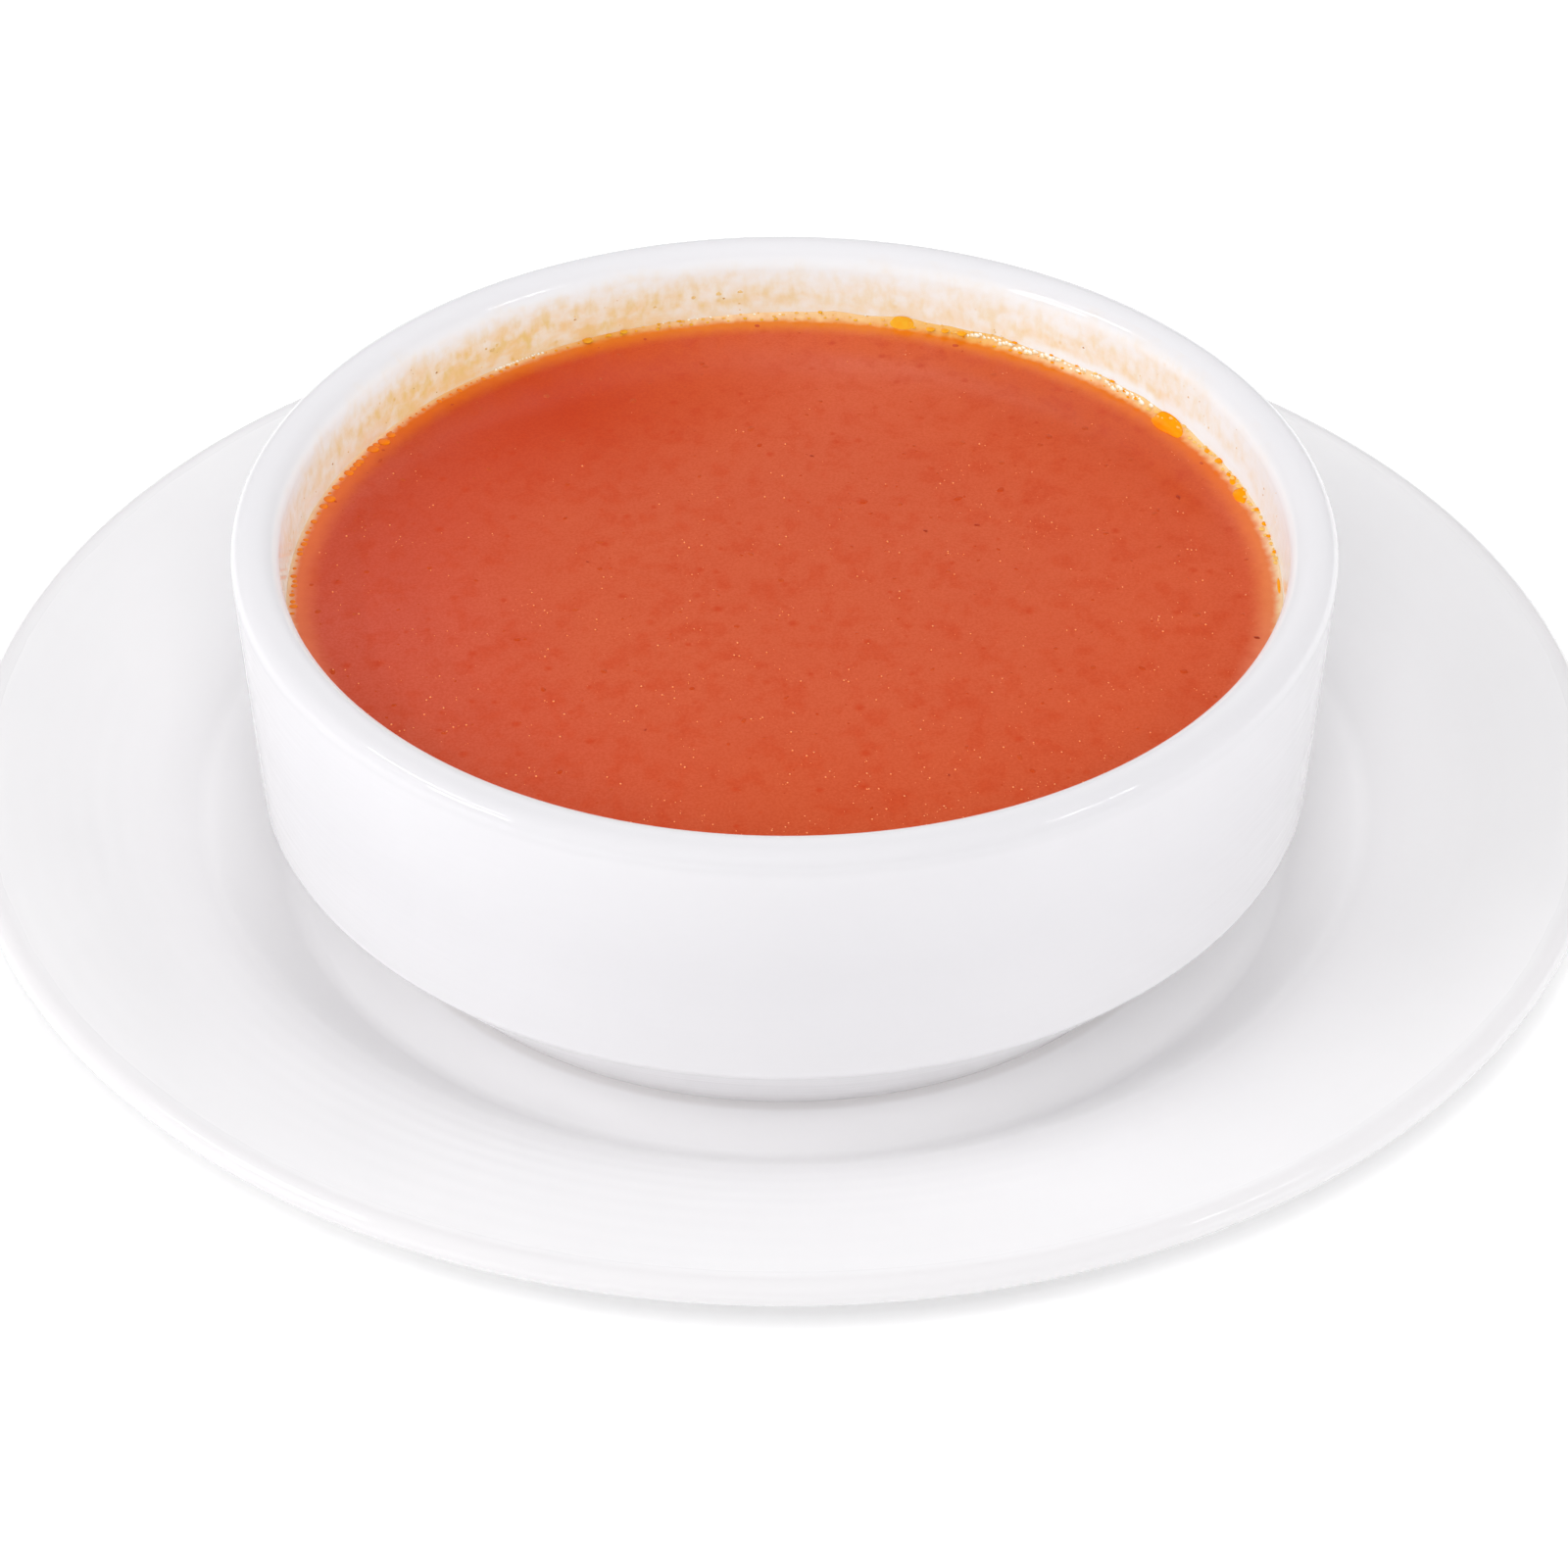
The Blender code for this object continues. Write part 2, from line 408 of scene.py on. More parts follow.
def bowlGlaze():
    material, tree, surface, place = newMaterial("bowlGlaze")
    throwing = stretch(tree, place, glaze["throwing"])
    colour, roughness = glazeLayer(tree, surface, glaze["bowl"], place, throwing, *glaze["bowlRipple"])
    where = roundAt(tree, place)
    # painted lighter low down, where the wall is in shade
    upper = smoothStep(tree, where["Height"], *glaze["litLowFade"])
    lowLit = mixColour(tree, upper, glaze["bowlLow"], colour)
    # painted shade on the front of the lip's outer corner
    corner = calculate(tree, "ADD", where["Radius"], where["Height"])
    rounded = smoothStep(tree, corner, *glaze["lipCorner"])
    along = addNode(tree, "SeparateXYZ", inputs={0: place}).outputs["Y"]
    front = smoothStep(tree, along, *glaze["lipFront"], 1.0, 0.0)
    lipShaded = mixColour(tree, product(tree, rounded, front), lowLit, glaze["bowlLipShade"], "MULTIPLY")
    outer = smoothStep(tree, where["Radius"], *glaze["bowlEdge"])
    glazed = mixColour(tree, outer, glaze["bowlInsideLit"], lipShaded)
    within = calculate(tree, "LESS_THAN", where["Radius"], residue["radius"])
    above = calculate(tree, "GREATER_THAN", where["Height"], soupLevel / mm - residue["below"])
    up = calculate(tree, "SUBTRACT", where["Height"], soupLevel / mm)
    strength, low, high = residueRound(tree, where["Turn"])
    wander = cloudAt(tree, stretch(tree, place, (0.6, 0.6, 1.0)), *residue["wander"])
    drift = scaled(tree, wander["Plain"], *residue["drift"])
    drifted = calculate(tree, "ADD", up, drift)
    band = residueBand(tree, drifted, low, high)
    inside = product(tree, strength, within, above)
    mottle = cloudAt(tree, stretch(tree, place, (0.7, 0.7, 1.1), (31, 7, 3)), residue["mottleSize"])
    body = scaled(tree, mottle["Cloud"], 0.5, 0.5)
    film = product(tree, band, body, inside)
    blotches = cloudAt(tree, stretch(tree, place, (1.0, 1.0, 0.6), (5, 17, 2)), *residue["blotches"])
    higher = smoothStep(tree, drifted, *residue["blotchFade"], 0.35, 1.0)
    blotch = product(tree, blotches["Cloud"], band, higher, inside)
    crumbs = flecksAt(tree, place, *residue["crumbs"])
    crumb = product(tree, crumbs["Fleck"], band, inside)
    stained = mixColour(tree, film, glazed, residue["tint"], "MULTIPLY")
    blotched = mixColour(tree, blotch, stained, residue["blotch"])
    crumbed = mixColour(tree, crumb, blotched, residue["crumb"])
    duller = scaled(tree, film, glaze["filmRoughness"], roughness)
    finishSurface(tree, surface, crumbed, duller, glaze["bend"])
    return material


soupLook = {  # colours go round from the front by the left, the back and the right
    "middle": (0.625, 0.105, 0.041),
    # partly the soup's own colour, partly painted shade: darkest towards the back left, where the wall
    # shades it
    "outer": [(0.0, (0.594, 0.090, 0.028)), (0.22, (0.615, 0.096, 0.054)), (0.33, (0.588, 0.068, 0.024)),
              (0.40, (0.560, 0.042, 0.001)), (0.46, (0.625, 0.077, 0.014)), (0.53, (0.680, 0.118, 0.046)),
              (0.62, (0.645, 0.095, 0.026)), (0.74, (0.650, 0.102, 0.036)), (1.0, (0.594, 0.090, 0.028))],
    "warm": [(0.20, (0.760, 0.180, 0.080)), (0.35, (0.740, 0.130, 0.002)), (0.50, (0.770, 0.205, 0.008)),
             (0.60, (0.785, 0.178, 0.004)), (0.68, (0.775, 0.140, 0.002)), (0.76, (0.800, 0.225, 0.072)),
             (0.80, (0.785, 0.215, 0.110))],
    # partly the thin film where the soup climbs the wall, partly painted highlight for the glare on the
    # meniscus
    "pale": [(0.25, (0.87, 0.57, 0.34)), (0.34, (0.89, 0.60, 0.35)), (0.372, (0.85, 0.46, 0.18)),
             (0.40, (0.89, 0.57, 0.31)), (0.437, (0.83, 0.37, 0.08)), (0.478, (0.94, 0.64, 0.37)),
             (0.522, (0.92, 0.58, 0.27)), (0.564, (0.86, 0.49, 0.13)), (0.606, (0.92, 0.63, 0.36)),
             (0.65, (0.90, 0.58, 0.24)), (0.689, (0.93, 0.66, 0.38)), (0.731, (0.95, 0.72, 0.47)),
             (0.78, (0.90, 0.60, 0.31))],
    "drift": (0.985, 0.94, 0.93),  # large faint clouds
    "grain": (0.935, 0.82, 0.71),
    "ringShade": (0.985, 0.86, 0.50),  # painted shade, darker and redder in a ring near the wall at the back right
    "blotch": (0.565, 0.046, 0.005),
    "fleck": (0.46, 0.034, 0.004),
    "bounce": (0.84, 0.82, 0.80),  # what the soup throws on the white wall
    "mirrored": 0.45,  # how much paler the wall shows it
    "roughness": 0.17,
    "grainRoughness": 0.05,
    "relief": 0.008,
    "bend": 1.36,
    "specular": 0.42,
    "driftSize": 9.0,
    "blotchSize": 2.1,
    "blotchShare": 0.42,
    "grainSize": 0.3,
    "wanderSize": 1.1,
    "pulpFlecks": (2.6, 0.45, 0.72, 0.9),  # spacing, share of the places, size, softness
    "pulpShare": 0.7,
    "specks": (1.4, 0.05, 0.12, 0.5),
    "speckShare": 0.6,
    "outerEdge": (18, 47),  # radius from and to, where one colour gives way to the next
    "ringShadeFrom": (45.0, 48.5),
    "ringShadeTo": (50.6, 52.2),
    "ringShadeStart": (0.49, 0.52),  # turn from and to
    "ringShadeEnd": (0.69, 0.72),
    "warmEdge": (50.9, 54.2),
    "paleEdge": (53.7, 54.95),
}


def shadeRingMask(tree, where):  # the mask of the ring of painted shade
    pastInner = smoothStep(tree, where["Radius"], *soupLook["ringShadeFrom"])
    beforeOuter = smoothStep(tree, where["Radius"], *soupLook["ringShadeTo"], 1.0, 0.0)
    started = smoothStep(tree, where["Turn"], *soupLook["ringShadeStart"])
    ended = smoothStep(tree, where["Turn"], *soupLook["ringShadeEnd"], 1.0, 0.0)
    return product(tree, pastInner, beforeOuter, started, ended)


def soupBroth():
    material, tree, surface, place = newMaterial("soupBroth")
    where = roundAt(tree, place)
    outer = colourRound(tree, where["Turn"], soupLook["outer"])
    outward = smoothStep(tree, where["Radius"], *soupLook["outerEdge"])
    colour = mixColour(tree, outward, soupLook["middle"], outer)
    drift = cloudAt(tree, place, soupLook["driftSize"], blur=0.22)
    colour = mixColour(tree, drift["Cloud"], colour, soupLook["drift"], "MULTIPLY")
    stretched = stretch(tree, place, (1.0, 0.8, 1.0), (3, 9, 0))
    blotches = cloudAt(tree, stretched, soupLook["blotchSize"], 2.0, 0.60, 0.16)
    pulp = flecksAt(tree, place, *soupLook["pulpFlecks"])
    specks = flecksAt(tree, place, *soupLook["specks"])
    for mask, share, mark in (
            (blotches["Cloud"], "blotchShare", "blotch"), (pulp["Fleck"], "pulpShare", "blotch"),
            (specks["Fleck"], "speckShare", "fleck")):
        colour = mixColour(tree, product(tree, mask, soupLook[share]), colour, soupLook[mark])
    grain = cloudAt(tree, place, soupLook["grainSize"], 2.0)
    colour = mixColour(tree, grain["Cloud"], colour, soupLook["grain"], "MULTIPLY")
    colour = mixColour(tree, shadeRingMask(tree, where), colour, soupLook["ringShade"], "MULTIPLY")
    wander = cloudAt(tree, place, soupLook["wanderSize"], 4.0)["Plain"]
    reach = calculate(tree, "ADD", wander, where["Radius"])
    for ring in ("warm", "pale"):
        share = smoothStep(tree, reach, *soupLook[ring + "Edge"])
        colour = mixColour(tree, share, colour, colourRound(tree, where["Turn"], soupLook[ring]))
    path = addNode(tree, "LightPath").outputs
    mirrored = product(tree, path["Is Glossy Ray"], soupLook["mirrored"])
    paler = calculate(tree, "MAXIMUM", path["Is Diffuse Ray"], mirrored)
    colour = mixColour(tree, paler, colour, soupLook["bounce"])
    duller = scaled(tree, grain["Cloud"], soupLook["grainRoughness"], soupLook["roughness"])
    relief = scaled(tree, blotches["Plain"], 0.6, grain["Plain"])
    addBump(tree, surface, relief, soupLook["relief"])
    finishSurface(tree, surface, colour, duller, soupLook["bend"], soupLook["specular"])
    return material


oilLooks = {  # colour on the left, at the back and on the right, and in its depth
    "tomatoOil": ((0.83, 0.205, 0.022), (0.86, 0.44, 0.030), (0.97, 0.350, 0.001), (0.90, 0.22, 0.001)),
    "oilFringe": ((0.88, 0.42, 0.11), (0.90, 0.48, 0.10), (0.91, 0.54, 0.15), (0.90, 0.47, 0.08)),
    "backFrom": (0.36, 0.46),  # turn from and to
    "rightFrom": (0.52, 0.60),
    "depthFrom": (53.7, 52.5),  # radius from and to, inwards
    "swirlSize": 0.8,
    "swirlShare": 0.3,
    "roughness": 0.12,
    "bend": 1.4,
    "specular": 0.2,
}


def tomatoOil(name):
    left, back, right, depth = oilLooks[name]
    material, tree, surface, place = newMaterial(name)
    where = roundAt(tree, place)
    behind = mixColour(tree, smoothStep(tree, where["Turn"], *oilLooks["backFrom"]), left, back)
    ring = mixColour(tree, smoothStep(tree, where["Turn"], *oilLooks["rightFrom"]), behind, right)
    swirl = cloudAt(tree, place, oilLooks["swirlSize"], level=0.55)
    inward = smoothStep(tree, where["Radius"], *oilLooks["depthFrom"])
    colour = mixColour(tree, scaled(tree, swirl["Cloud"], oilLooks["swirlShare"], inward), ring, depth)
    duller = scaled(tree, swirl["Plain"], 0.1, oilLooks["roughness"])
    finishSurface(tree, surface, colour, duller, oilLooks["bend"], oilLooks["specular"])
    return material


crumbLooks = {  # plain colour, colour of the palest pieces, colour of the painted glint, roughness
    # the bubbles are darker than the soup round their painted glint: painted shade
    "bubbleShadeAndGlint": ((0.55, 0.030, 0.003), (0.66, 0.055, 0.008), (0.95, 0.32, 0.12), 0.08),
    "frothAndGlints": ((0.95, 0.62, 0.28), (0.98, 0.80, 0.54), (1.0, 0.97, 0.90), 0.05),
    "tomatoPulp": ((0.580, 0.058, 0.007), (0.610, 0.080, 0.018), (0.58, 0.058, 0.007), 0.2),
    "pepperGrain": ((0.33, 0.034, 0.008), (0.46, 0.040, 0.009), (0.30, 0.030, 0.008), 0.6),
    "driedSplash": ((0.50, 0.20, 0.05), (0.93, 0.62, 0.26), (0.86, 0.42, 0.09), 0.4),
}
crumbShine = (1.4, 0.25)  # how it bends light, and its specular level


def crumbMaterial(name):
    plain, pale, paintedGlint, rough = crumbLooks[name]
    material, tree, surface, place = newMaterial(name)
    pick = addNode(tree, "Attribute", {"attribute_name": "pick"}).outputs["Fac"]
    top = addNode(tree, "Attribute", {"attribute_name": "paintedGlint"}).outputs["Fac"]
    grain = cloudAt(tree, place, 0.12)
    shade = scaled(tree, grain["Cloud"], 0.25, 0.8)
    shaded = mixColour(tree, 1.0, mixColour(tree, pick, plain, pale), shade, "MULTIPLY")
    glinted = mixColour(tree, top, shaded, paintedGlint)
    duller = scaled(tree, grain["Plain"], 0.08, rough)
    finishSurface(tree, surface, glinted, duller, *crumbShine)
    return material


def floorPaper():
    material, tree, surface, place = newMaterial("floorPaper")
    fibre = cloudAt(tree, place, room["fibreSize"], 4.0, blur=0.3)
    colour = mixColour(tree, fibre["Cloud"], room["floorColour"], room["fibreColour"])
    away = addNode(tree, "VectorMath", {"operation": "DISTANCE"}, {0: place, 1: room["shadowMiddle"]})
    lit = smoothStep(tree, away.outputs["Value"], *room["shadowReach"])
    shaded = mixColour(tree, lit, room["shadowColour"], colour)
    tree.links.new(shaded, surface.inputs["Base Color"])
    seen = product(tree, addNode(tree, "LightPath").outputs["Is Camera Ray"], lit)
    glow = scaled(tree, seen, room["overexposed"], room["floorGlow"])
    tree.links.new(glow, surface.inputs["Emission Strength"])
    surface.inputs["Roughness"].default_value = 0.9
    surface.inputs["Specular IOR Level"].default_value = 0.1
    surface.inputs["Emission Color"].default_value = (1, 1, 1, 1)
    return material


def addPrimitive(name, add, **shape):  # with all else deselected
    bpy.ops.object.select_all(action="DESELECT")
    add(location=(0, 0, 0), **shape)
    bpy.context.object.name = name
    return bpy.context.object


def placeFloor():
    floor = addPrimitive("floor", bpy.ops.mesh.primitive_plane_add, size=room["floorSize"])
    floor.data.materials.append(floorPaper())


placeFloor()
print("materials ready")


def smoothUnder(degrees):  # shades smooth where the surface turns less than this
    bpy.ops.object.shade_smooth_by_angle(angle=math.radians(degrees), keep_sharp_edges=False)


def startPoint(name, place):
    piece = addPrimitive(name, bpy.ops.mesh.primitive_plane_add, size=0.01)
    piece.data.name = name
    bpy.ops.object.mode_set(mode="EDIT")
    bpy.ops.mesh.merge(type="CENTER")
    bpy.ops.transform.translate(value=place)
    return piece


def faceOutwards():  # ends edit mode
    bpy.ops.mesh.select_all(action="SELECT")
    bpy.ops.mesh.normals_make_consistent(inside=False)
    bpy.ops.object.mode_set(mode="OBJECT")


def spinOutline(name, outline, turns):
    corners = [Vector((x, 0, z)) for x, z in outline]
    piece = startPoint(name, corners[0])
    for here, there in zip(corners, corners[1:]):
        bpy.ops.mesh.extrude_vertices_move(TRANSFORM_OT_translate={"value": there - here})
    bpy.ops.mesh.select_all(action="SELECT")
    bpy.ops.mesh.spin(steps=turns, angle=2 * math.pi, center=(0, 0, 0), axis=(0, 0, 1))
    bpy.ops.mesh.select_all(action="SELECT")
    bpy.ops.mesh.remove_doubles(threshold=0.01 * mm)
    faceOutwards()
    smoothUnder(40)
    return piece


def roundRing(piece, radius, height, rounding, turn, segments):  # turn in degrees at the corner
    near = 0.05 * mm
    bpy.ops.object.mode_set(mode="EDIT")
    bpy.ops.mesh.select_all(action="DESELECT")
    cage = bmesh.from_edit_mesh(piece.data)
    for edge in cage.edges:
        if all(abs(math.hypot(corner.co.x, corner.co.y) - radius) < near
               and abs(corner.co.z - height) < near for corner in edge.verts):
            edge.select_set(True)
    bmesh.update_edit_mesh(piece.data)
    setback = rounding * math.tan(math.radians(turn) / 2)
    bpy.ops.mesh.bevel(offset_type="OFFSET", offset=setback, segments=segments, profile=0.5,
                       affect="EDGES", clamp_overlap=False)
    bpy.ops.object.mode_set(mode="OBJECT")
    smoothUnder(40)


def finishPiece(piece, material, node=None):
    piece.data.materials.clear()
    piece.data.materials.append(material)
    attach(piece, "root")
    if node:
        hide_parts(node)
    print("made", piece.name, "with", len(piece.data.polygons), "faces")


plate = {
    "wellRadius": 56.4 * mm,  # of the flat floor
    "wellHeight": 6.6 * mm,
    "wellRound": 3.6 * mm,
    "wellTurn": 40,  # degrees between the well's floor and its wall
    "rimStartRadius": 65.0 * mm,  # the well's wall ends here
    "rimStartHeight": 13.8 * mm,
    "rimStartRound": 7.5 * mm,
    "rimStartTurn": 15,
    "rimArch": 1.1 * mm,  # above a straight slope, halfway
    "lipThickness": 3.2 * mm,
    "clearance": 0.01 * mm,  # keeps the lip within the solid
    "ridgePitch": 2.7 * mm,
    "ridgeDrift": 0.12 * mm,
    "ridgeDepth": 0.034 * mm,
    "ridgeChange": (0.75, 1.2),  # shallowest and deepest, as a share of that
    "ridgeGap": 0.3 * mm,  # plain before the lip
    "ridges": 8,
    "underRim": (67.0 * mm, 10.4 * mm),
    "underWell": (58.2 * mm, 2.6 * mm),
    "footRadius": 56.5 * mm,
    "footWidth": 4.5 * mm,
    "footDepth": 2.4 * mm,
    "footBevel": 0.4 * mm,
    "footRise": 0.5 * mm,
    "footSplay": (0.3 * mm, 0.2 * mm),
    "turns": 192,
}


def makePlate():
    chance = random.Random(4)
    edge = plateHigh.x - plate["clearance"]
    lip = plate["lipThickness"] / 2
    centreX, centreZ = edge - lip, plateHigh.z - lip
    startX, startZ = plate["rimStartRadius"], plate["rimStartHeight"]
    slope = math.atan2(plateHigh.z - startZ - 4 * plate["rimArch"], centreX - startX)
    endX, endZ = centreX - lip * math.sin(slope), centreZ + lip * math.cos(slope)
    outline = [(0, plate["wellHeight"]), (plate["wellRadius"], plate["wellHeight"]), (startX, startZ)]
    samples = 8
    crest = endX - plate["ridgePitch"] * plate["ridges"]
    for _ in range(plate["ridges"]):
        pitch = plate["ridgePitch"] + chance.uniform(-1, 1) * plate["ridgeDrift"]
        depth = plate["ridgeDepth"] * chance.uniform(*plate["ridgeChange"])
        for step in range(samples):
            x = crest + pitch * step / samples
            if x > endX - plate["ridgeGap"]:
                break
            part = (x - startX) / (endX - startX)
            wave = depth * (0.5 - 0.5 * math.cos(2 * math.pi * step / samples))
            arch = plate["rimArch"] * 4 * part * (1 - part)
            outline.append((x, startZ + part * (endZ - startZ) + arch - wave))
        crest += pitch
    lipSteps = 12
    for step in range(lipSteps + 1):
        angle = math.pi / 2 + slope - math.pi * step / lipSteps
        outline.append((centreX + lip * math.cos(angle), centreZ + lip * math.sin(angle)))
    outer, inner = plate["footRadius"], plate["footRadius"] - plate["footWidth"]
    outerSplay, innerSplay = plate["footSplay"]
    outline += [
        plate["underRim"],
        plate["underWell"],
        (outer + outerSplay, plate["footRise"]),
        (outer - plate["footBevel"], 0),
        (inner + plate["footBevel"], 0),
        (inner - innerSplay, plate["footRise"]),
        (inner - plate["footDepth"] / 2, plate["footDepth"]),
        (0, plate["footDepth"]),
    ]
    piece = spinOutline("linerPlate", outline, plate["turns"])
    roundRing(piece, plate["wellRadius"], plate["wellHeight"], plate["wellRound"], plate["wellTurn"], 6)
    roundRing(piece, startX, startZ, plate["rimStartRound"], plate["rimStartTurn"], 6)
    return piece


finishPiece(makePlate(), plateGlaze(), "plate")


bowl = {
    "radius": 60.1 * mm,
    "wall": 5.2 * mm,
    "wallTurn": 87,  # degrees from the wall to the rim's top, and to the inner floor
    "rimOuterRound": 2.4 * mm,
    "rimInnerRound": 2.6 * mm,
    "creaseRadius": 58.6 * mm,
    "creaseHeight": 12.9 * mm,
    "creaseRound": 1.0 * mm,
    "creaseTurn": 42,
    "footRadius": 47.8 * mm,
    "footWidth": 4.2 * mm,
    "footDepth": 1.6 * mm,
    "footRound": 0.6 * mm,
    "footSink": 0.02 * mm,  # into the plate, so that no gap shows
    "cavityFloor": 6.0 * mm,
    "cavityFootRadius": 52.9 * mm,
    "cavityRound": 14.0 * mm,
    "turns": 192,
}


def makeBowl():
    base, top = bowlLow.z, bowlHigh.z
    crease, cavity = base + bowl["creaseHeight"], base + bowl["cavityFloor"]
    foot = plate["wellHeight"] - bowl["footSink"]  # the visible foot stands on the plate
    inner = bowl["footRadius"] - bowl["footWidth"]
    mouth = bowl["radius"] - bowl["wall"]
    outline = [
        (0, cavity),
        (bowl["cavityFootRadius"], cavity),
        (mouth, top),
        (bowl["radius"], top),
        (bowl["creaseRadius"], crease),
        (bowl["footRadius"], base + bowl["footRound"]),
        (bowl["footRadius"] - bowl["footRound"], foot),
        (inner, foot),
        (inner - bowl["footDepth"] / 2, base + bowl["footDepth"]),
        (0, base + bowl["footDepth"]),
    ]
    piece = spinOutline("soupBowl", outline, bowl["turns"])
    roundRing(piece, bowl["cavityFootRadius"], cavity, bowl["cavityRound"], bowl["wallTurn"], 14)
    roundRing(piece, mouth, top, bowl["rimInnerRound"], bowl["wallTurn"], 8)
    roundRing(piece, bowl["radius"], top, bowl["rimOuterRound"], bowl["wallTurn"], 8)
    roundRing(piece, bowl["creaseRadius"], crease, bowl["creaseRound"], bowl["creaseTurn"], 4)
    return piece


finishPiece(makeBowl(), bowlGlaze(), "bowl")


soup = {
    "wallRadius": 54.3 * mm,
    "overlap": 0.17 * mm,  # into the wall, so that no gap shows
    "skirt": 3 * mm,  # straight down below the level
    "underside": [(53.4 * mm, 22 * mm), (46 * mm, 14.5 * mm), (40 * mm, soupLow.z), (0, soupLow.z)],
    "climb": [(-180, 0.05), (-90, 0.20), (-10, 0.35), (15, 0.60), (40, 0.80), (70, 0.90), (90, 0.66),
              (108, 0.30), (125, 0.10), (180, 0.05)],  # azimuth, and how far it climbs the wall in mm
    "climbWidth": 1.1 * mm,
    "climbSteps": 11,
    "climbCrowding": 0.6,  # draws the steps together towards the wall
    "climbPower": 4,
    "climbWander": 0.35,
    "climbWaves": 14,
    "ringPitch": 2.0 * mm,
    "swell": 0.03 * mm,
    "swellSize": 7 * mm,
    "turns": 240,
}


def climb(azimuth):
    for (start, low), (end, high) in zip(soup["climb"], soup["climb"][1:]):
        if start <= azimuth <= end:
            part = (azimuth - start) / (end - start)
            return (low + (high - low) * part) * mm


def soupHeight(x, y):  # the top of the soup at a place
    swell = soup["swell"] * noise.noise(Vector((x, y, 0)) / soup["swellSize"])
    part = (math.hypot(x, y) - soup["wallRadius"] + soup["climbWidth"]) / soup["climbWidth"]
    waves = noise.noise(Vector((x, y, 0)).normalized() * soup["climbWaves"])
    highest = climb(math.degrees(math.atan2(y, x))) * (1 + soup["climbWander"] * waves)
    return soupLevel + swell + highest * min(max(part, 0), 1.05) ** soup["climbPower"]


def makeSoup():
    start = soup["wallRadius"] - soup["climbWidth"]
    rings = int(start / soup["ringPitch"])
    steps, reach = soup["climbSteps"], soup["climbWidth"] + soup["overlap"]
    outline = [(start * step / rings, soupLevel) for step in range(rings + 1)]
    outline += [(start + reach * (step / steps) ** soup["climbCrowding"], soupLevel)
                for step in range(1, steps + 1)]
    outline.append((soup["wallRadius"] + soup["overlap"], soupLevel - soup["skirt"]))
    piece = spinOutline("tomatoSoup", outline + soup["underside"], soup["turns"])
    for corner in piece.data.vertices:
        if corner.co.z > soupLevel - soup["skirt"] / 2:
            corner.co.z = soupHeight(corner.co.x, corner.co.y)
    return piece


finishPiece(makeSoup(), soupBroth(), "soup")


def wallRadius(height):  # the bowl's inner wall at a height
    top = bowl["radius"] - bowl["wall"]
    lean = (top - bowl["cavityFootRadius"]) / (bowlHigh.z - bowlLow.z - bowl["cavityFloor"])
    return top - (bowlHigh.z - height) * lean


def polar(radius, azimuth):  # x and y
    turn = math.radians(azimuth)
    return radius * math.cos(turn), radius * math.sin(turn)


def anyPlace(chance, reach):  # x and y anywhere in a circle
    azimuth = chance.uniform(-180, 180)
    return polar(reach * math.sqrt(chance.random()), azimuth)


def roundWall(chance, azimuth, end, spacing):  # an azimuth for each bead of a row, unevenly spaced
    while azimuth > end:
        yield azimuth
        azimuth -= math.degrees(spacing * mm * chance.uniform(0.6, 1.4) / soup["wallRadius"])


def markPaintedGlint(master, direction, low, high):  # 1 on the side that faces a direction, where the painted glint goes
    marks = master.data.attributes.new("paintedGlint", "FLOAT", "POINT")
    for corner, mark in zip(master.data.vertices, marks.data):
        facing = corner.co.normalized().dot(direction)
        part = min(max((facing - low) / (high - low), 0), 1)
        mark.value = part * part * (3 - 2 * part)


def markPick(piece, shade):  # 0 for the plain colour, 1 for the palest
    marks = piece.data.attributes.new("pick", "FLOAT", "POINT")
    marks.data.foreach_set("value", [shade] * len(piece.data.vertices))


def makeDome(name, segments, rings, cut):  # a unit ball cut off below, closed underneath
    dome = addPrimitive(
        name, bpy.ops.mesh.primitive_uv_sphere_add, segments=segments, ring_count=rings, radius=1)
    bpy.ops.object.mode_set(mode="EDIT")
    bpy.ops.mesh.select_all(action="SELECT")
    bpy.ops.mesh.bisect(plane_co=(0, 0, cut), plane_no=(0, 0, 1), use_fill=True, clear_inner=True)
    faceOutwards()
    smoothUnder(50)
    return dome


def makeGrain(name, seed, rough):  # an uneven little lump
    grain = addPrimitive(name, bpy.ops.mesh.primitive_ico_sphere_add, subdivisions=2, radius=1)
    for corner in grain.data.vertices:
        corner.co *= 1 + rough * noise.noise(corner.co * 1.3 + Vector((seed, 0, 0)))
    smoothUnder(35)
    return grain


def joinPieces(name, pieces):
    bpy.ops.object.select_all(action="DESELECT")
    for piece in pieces:
        piece.select_set(True)
    bpy.context.view_layer.objects.active = pieces[0]
    bpy.ops.object.join()
    pieces[0].name = name
    pieces[0].data.name = name
    return pieces[0]


def gatherCopies(name, masters, places):  # places hold a matrix, which master and a shade
    copies = []
    for matrix, which, shade in places:
        piece = bpy.data.objects.new(name, masters[which].data.copy())
        piece.data.transform(matrix)
        markPick(piece, shade)
        bpy.context.scene.collection.objects.link(piece)
        copies.append(piece)
    whole = joinPieces(name, copies)
    for master in masters:
        bpy.data.objects.remove(master)
    return whole


def standing(x, y, z, turn, size):  # a matrix with its own size on each axis
    return Matrix.Translation((x, y, z)) @ Matrix.Rotation(turn, 4, "Z") @ Matrix.Diagonal((*size, 1))


glint = Vector((0, -0.4, 0.92))  # where a bubble carries its painted glint

bubbles = {
    "clusters": 430,
    "perCluster": (1, 4),
    "crowding": (0.45, -0.45, 0.15),  # share in the middle, and what the back and the right add
    "smallest": 0.05 * mm,
    "largest": 0.18 * mm,
    "skew": 2.2,  # makes the large ones few
    "sink": 0.1,
    "height": 0.75,
    "spread": 1.1 * mm,
    "reach": 52.0 * mm,
    "seed": 11,
}


